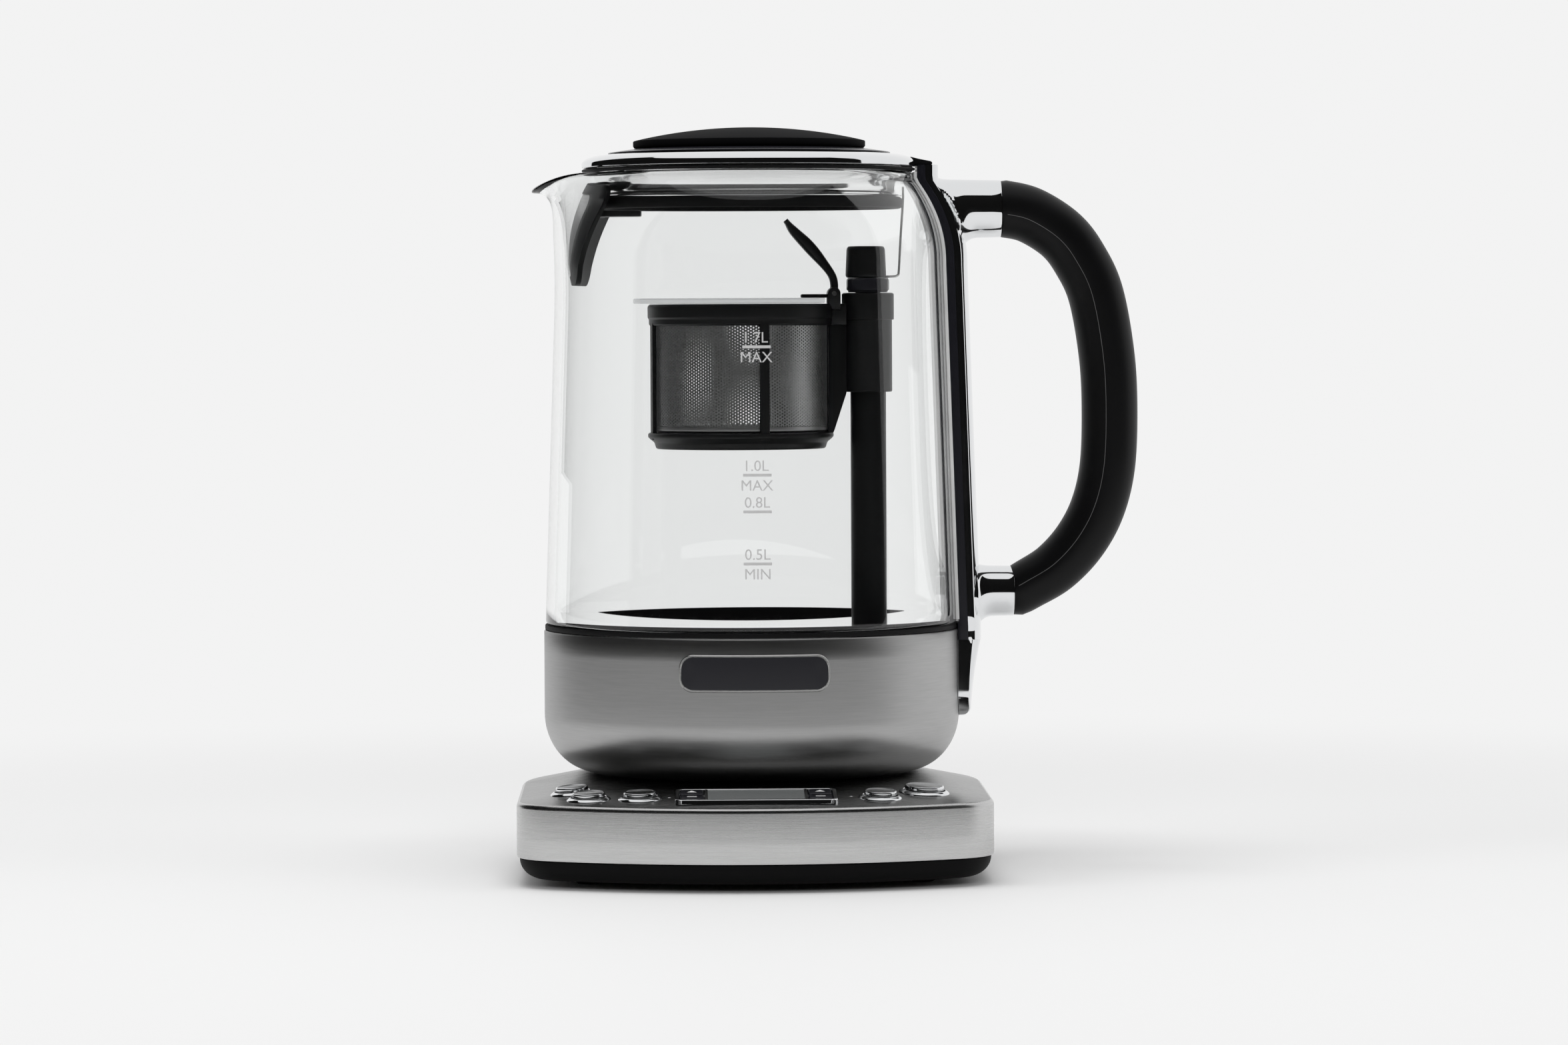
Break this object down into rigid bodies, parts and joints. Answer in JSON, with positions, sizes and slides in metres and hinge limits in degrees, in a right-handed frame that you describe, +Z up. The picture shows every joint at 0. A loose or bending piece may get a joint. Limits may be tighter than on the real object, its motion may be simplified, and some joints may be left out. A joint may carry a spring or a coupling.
{
  "type": "automatic tea maker",
  "caption": "Glass kettle jug with a motor-lowered infuser basket, loop handle, filter spout and lift-off lid, on a round-backed steel power base with push buttons and a display.",
  "frame": {"origin": "middle of the whole outline's footprint, on the surface the feet stand on", "axes": "+Z up, +X from the spout side to the handle side, +Y from the control panel to the back"},
  "size_m": [0.2252, 0.2, 0.2683],
  "materials": {
    "brushed_steel": "fine brushed",
    "chrome": "polished",
    "black_plastic": "satin",
    "gloss_black": "gloss",
    "black_rubber": "matt",
    "clear_glass": "clear",
    "clear_plastic": "clear",
    "display_grey": "gloss",
    "circuit_board": "solder mask",
    "brass": "turned"
  },
  "bodies": {
    "base": {"base_shell": "brushed_steel", "base_pan": "black_plastic", "foot_front_left": "black_rubber", "foot_front_right": "black_rubber", "foot_rear_left": "black_rubber", "foot_rear_right": "black_rubber", "power_connector": "black_plastic", "control_board": "circuit_board", "cord_gland": "black_rubber", "button_ring_outer_left": "chrome", "button_ring_mid_left": "chrome", "button_ring_inner_left": "chrome", "button_ring_inner_right": "chrome", "button_ring_outer_right": "chrome", "display_bezel": "chrome", "display_window": "display_grey"},
    "button_outer_left": {"button_outer_left": "chrome"},
    "button_mid_left": {"button_mid_left": "chrome"},
    "button_inner_left": {"button_inner_left": "chrome"},
    "button_inner_right": {"button_inner_right": "chrome"},
    "button_outer_right": {"button_outer_right": "chrome"},
    "display_key_left_rear": {"display_key_left_rear": "gloss_black"},
    "display_key_left_front": {"display_key_left_front": "gloss_black"},
    "display_key_right_rear": {"display_key_right_rear": "gloss_black"},
    "display_key_right_front": {"display_key_right_front": "gloss_black"},
    "jug_socket": {"jug_connector": "black_plastic"},
    "jug": {"glass_jug": "clear_glass", "glass_gasket": "black_rubber", "jug_shell": "brushed_steel", "badge_plate": "gloss_black", "heater_plate": "brushed_steel", "heating_element": "brushed_steel", "temperature_probe": "brushed_steel", "jug_bottom_cover": "black_plastic", "spine_strip": "black_plastic", "handle_spine": "chrome", "handle_grip": "black_plastic", "spine_cap": "black_plastic", "sensor_wire": "brushed_steel", "filter_frame": "black_plastic", "filter_mesh": "brushed_steel", "post_tube": "black_plastic", "post_cap": "black_plastic", "lift_motor": "brushed_steel"},
    "jug_lid": {"lid_gasket": "black_rubber", "lid_ring": "chrome", "lid_disc": "black_plastic", "lid_knob": "black_plastic", "lid_skirt": "brushed_steel", "lid_seal": "black_rubber"},
    "carriage": {"basket_frame": "black_plastic", "basket_mesh": "brushed_steel", "lid_hinge_pin": "brushed_steel"},
    "infuser_lid": {"infuser_lid": "clear_plastic", "lid_lever": "black_plastic"},
    "drive_nut": {"drive_nut": "brass"},
    "lead_screw": {"lead_screw": "brushed_steel"}
  },
  "joints": [
    {"name": "button_outer_left_press", "type": "slide", "parent": "base", "child": "button_outer_left", "axis": [0.0782, 0.0423, -0.996], "range_m": [0, 0.0009], "stiffness_N_per_m": 400},
    {"name": "button_mid_left_press", "type": "slide", "parent": "base", "child": "button_mid_left", "axis": [0.0357, 0.0775, -0.9964], "range_m": [0, 0.0009], "stiffness_N_per_m": 400},
    {"name": "button_inner_left_press", "type": "slide", "parent": "base", "child": "button_inner_left", "axis": [0.0291, 0.0844, -0.996], "range_m": [0, 0.0009], "stiffness_N_per_m": 400},
    {"name": "button_inner_right_press", "type": "slide", "parent": "base", "child": "button_inner_right", "axis": [-0.0323, 0.0808, -0.9962], "range_m": [0, 0.0009], "stiffness_N_per_m": 400},
    {"name": "button_outer_right_press", "type": "slide", "parent": "base", "child": "button_outer_right", "axis": [-0.0519, 0.063, -0.9967], "range_m": [0, 0.0009], "stiffness_N_per_m": 400},
    {"name": "display_key_left_rear_press", "type": "slide", "parent": "base", "child": "display_key_left_rear", "axis": [0, 0.0936, -0.9956], "range_m": [0, 0.0006], "stiffness_N_per_m": 400},
    {"name": "display_key_left_front_press", "type": "slide", "parent": "base", "child": "display_key_left_front", "axis": [0, 0.0936, -0.9956], "range_m": [0, 0.0006], "stiffness_N_per_m": 400},
    {"name": "display_key_right_rear_press", "type": "slide", "parent": "base", "child": "display_key_right_rear", "axis": [0, 0.0936, -0.9956], "range_m": [0, 0.0006], "stiffness_N_per_m": 400},
    {"name": "display_key_right_front_press", "type": "slide", "parent": "base", "child": "display_key_right_front", "axis": [0, 0.0936, -0.9956], "range_m": [0, 0.0006], "stiffness_N_per_m": 400},
    {"name": "jug_lift", "type": "slide", "parent": "base", "child": "jug_socket", "axis": [0, 0, 1], "range_m": [0, 0.06]},
    {"name": "jug_spin", "type": "hinge", "parent": "jug_socket", "child": "jug", "pos_m": [-0.02859, 0.012, 0.036], "axis": [0, 0, 1], "continuous": true},
    {"name": "lid_lift", "type": "slide", "parent": "jug", "child": "jug_lid", "axis": [0, 0, 1], "range_m": [0, 0.05]},
    {"name": "infuser_travel", "type": "slide", "parent": "jug", "child": "carriage", "axis": [0, 0, 1], "range_m": [-0.06, 0]},
    {"name": "infuser_lid_hinge", "type": "hinge", "parent": "carriage", "child": "infuser_lid", "pos_m": [0.00191, 0.012, 0.2078], "axis": [0, 1, 0], "range_deg": [0, 28]},
    {"name": "drive_nut_slide", "type": "slide", "parent": "jug", "child": "drive_nut", "axis": [0, 0, 1], "range_m": [-0.06, 0]},
    {"name": "lead_screw_spin", "type": "hinge", "parent": "jug", "child": "lead_screw", "pos_m": [0.01441, 0.012, 0.14], "axis": [0, 0, 1], "range_deg": [-2700, 0]}
  ],
  "couplings": [
    {"joint": "drive_nut_slide", "follows": "infuser_travel", "ratio": 1},
    {"joint": "lead_screw_spin", "follows": "infuser_travel", "rad_per_m": 785.4}
  ]
}
